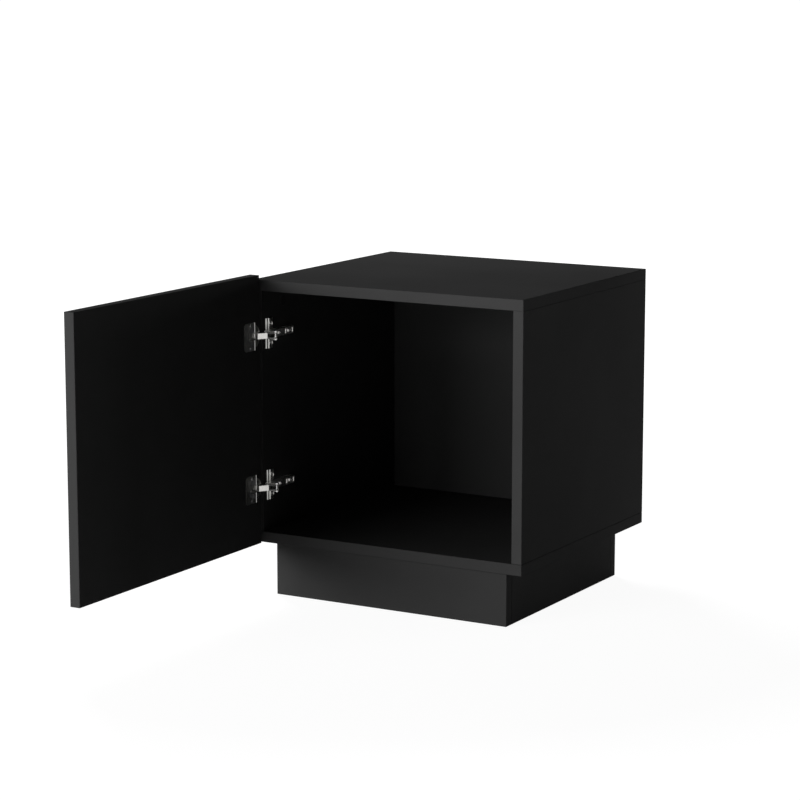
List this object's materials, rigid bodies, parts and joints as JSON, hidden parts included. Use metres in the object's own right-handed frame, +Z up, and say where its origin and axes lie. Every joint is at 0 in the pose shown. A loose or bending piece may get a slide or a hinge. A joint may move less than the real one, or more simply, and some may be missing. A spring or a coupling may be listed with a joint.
{
  "type": "storage side table with door",
  "caption": "Square black storage side table: a board box on a recessed plinth, its door hung on concealed link hinges and standing open, the door edge serving as grip.",
  "frame": {"origin": "middle of the underside of the plinth's front rail, on the floor", "axes": "+Z up, +X to the right as seen from the front, +Y from the door opening towards the back"},
  "size_m": [0.5, 0.9579, 0.538],
  "materials": {
    "black_board": "satin black lacquered foil",
    "beech": "raw beech",
    "nickel_plate": "bright nickel plated",
    "plated_screw": "zinc plated",
    "zinc_casting": "die-cast zinc",
    "black_plastic": "fine matt",
    "grey_plastic": "satin moulded"
  },
  "bodies": {
    "cabinet": {"back_board": "black_board", "back_dowels": "beech", "block_screws": "plated_screw", "bottom_board": "black_board", "cam_bolts": "plated_screw", "cam_caps": "black_plastic", "cam_housings": "zinc_casting", "corner_blocks": "beech", "left_side": "black_board", "lower_adjusting_screw": "plated_screw", "lower_arm": "nickel_plate", "lower_arm_pin": "plated_screw", "lower_fixing_screw": "plated_screw", "lower_mounting_plate": "nickel_plate", "lower_plate_screws": "plated_screw", "panel_screws": "plated_screw", "plinth_back_rail": "black_board", "plinth_front_rail": "black_board", "plinth_left_rail": "black_board", "plinth_right_rail": "black_board", "right_side": "black_board", "side_dowels": "beech", "top_board": "black_board", "upper_adjusting_screw": "plated_screw", "upper_arm": "nickel_plate", "upper_arm_pin": "plated_screw", "upper_fixing_screw": "plated_screw", "upper_mounting_plate": "nickel_plate", "upper_plate_screws": "plated_screw"},
    "outer_links": {"lower_outer_link": "nickel_plate", "upper_outer_link": "nickel_plate"},
    "door": {"door_board": "black_board", "lower_cup": "nickel_plate", "lower_cup_pins": "plated_screw", "lower_cup_screws": "plated_screw", "lower_damper": "grey_plastic", "upper_cup": "nickel_plate", "upper_cup_pins": "plated_screw", "upper_cup_screws": "plated_screw", "upper_damper": "grey_plastic"},
    "inner_links": {"lower_inner_link": "nickel_plate", "lower_link_pin": "plated_screw", "upper_inner_link": "nickel_plate", "upper_link_pin": "plated_screw"}
  },
  "joints": [
    {"name": "outer_link_pivot", "type": "hinge", "parent": "cabinet", "child": "outer_links", "pos_m": [-0.2253, -0.0225, 0.312], "axis": [0, 0, 1], "range_deg": [-29.53, 3.29]},
    {"name": "door_swing", "type": "hinge", "parent": "outer_links", "child": "door", "pos_m": [-0.23644, -0.03886, 0.312], "axis": [0, 0, 1], "range_deg": [-13.28, 119.52]},
    {"name": "inner_link_pivot", "type": "hinge", "parent": "door", "child": "inner_links", "pos_m": [-0.23408, -0.04146, 0.312], "axis": [0, 0, 1], "range_deg": [-113.27, 12.59]}
  ],
  "couplings": [
    {"joint": "outer_link_pivot", "follows": "door_swing", "ratio": -0.24699},
    {"joint": "inner_link_pivot", "follows": "door_swing", "ratio": -0.94759}
  ]
}
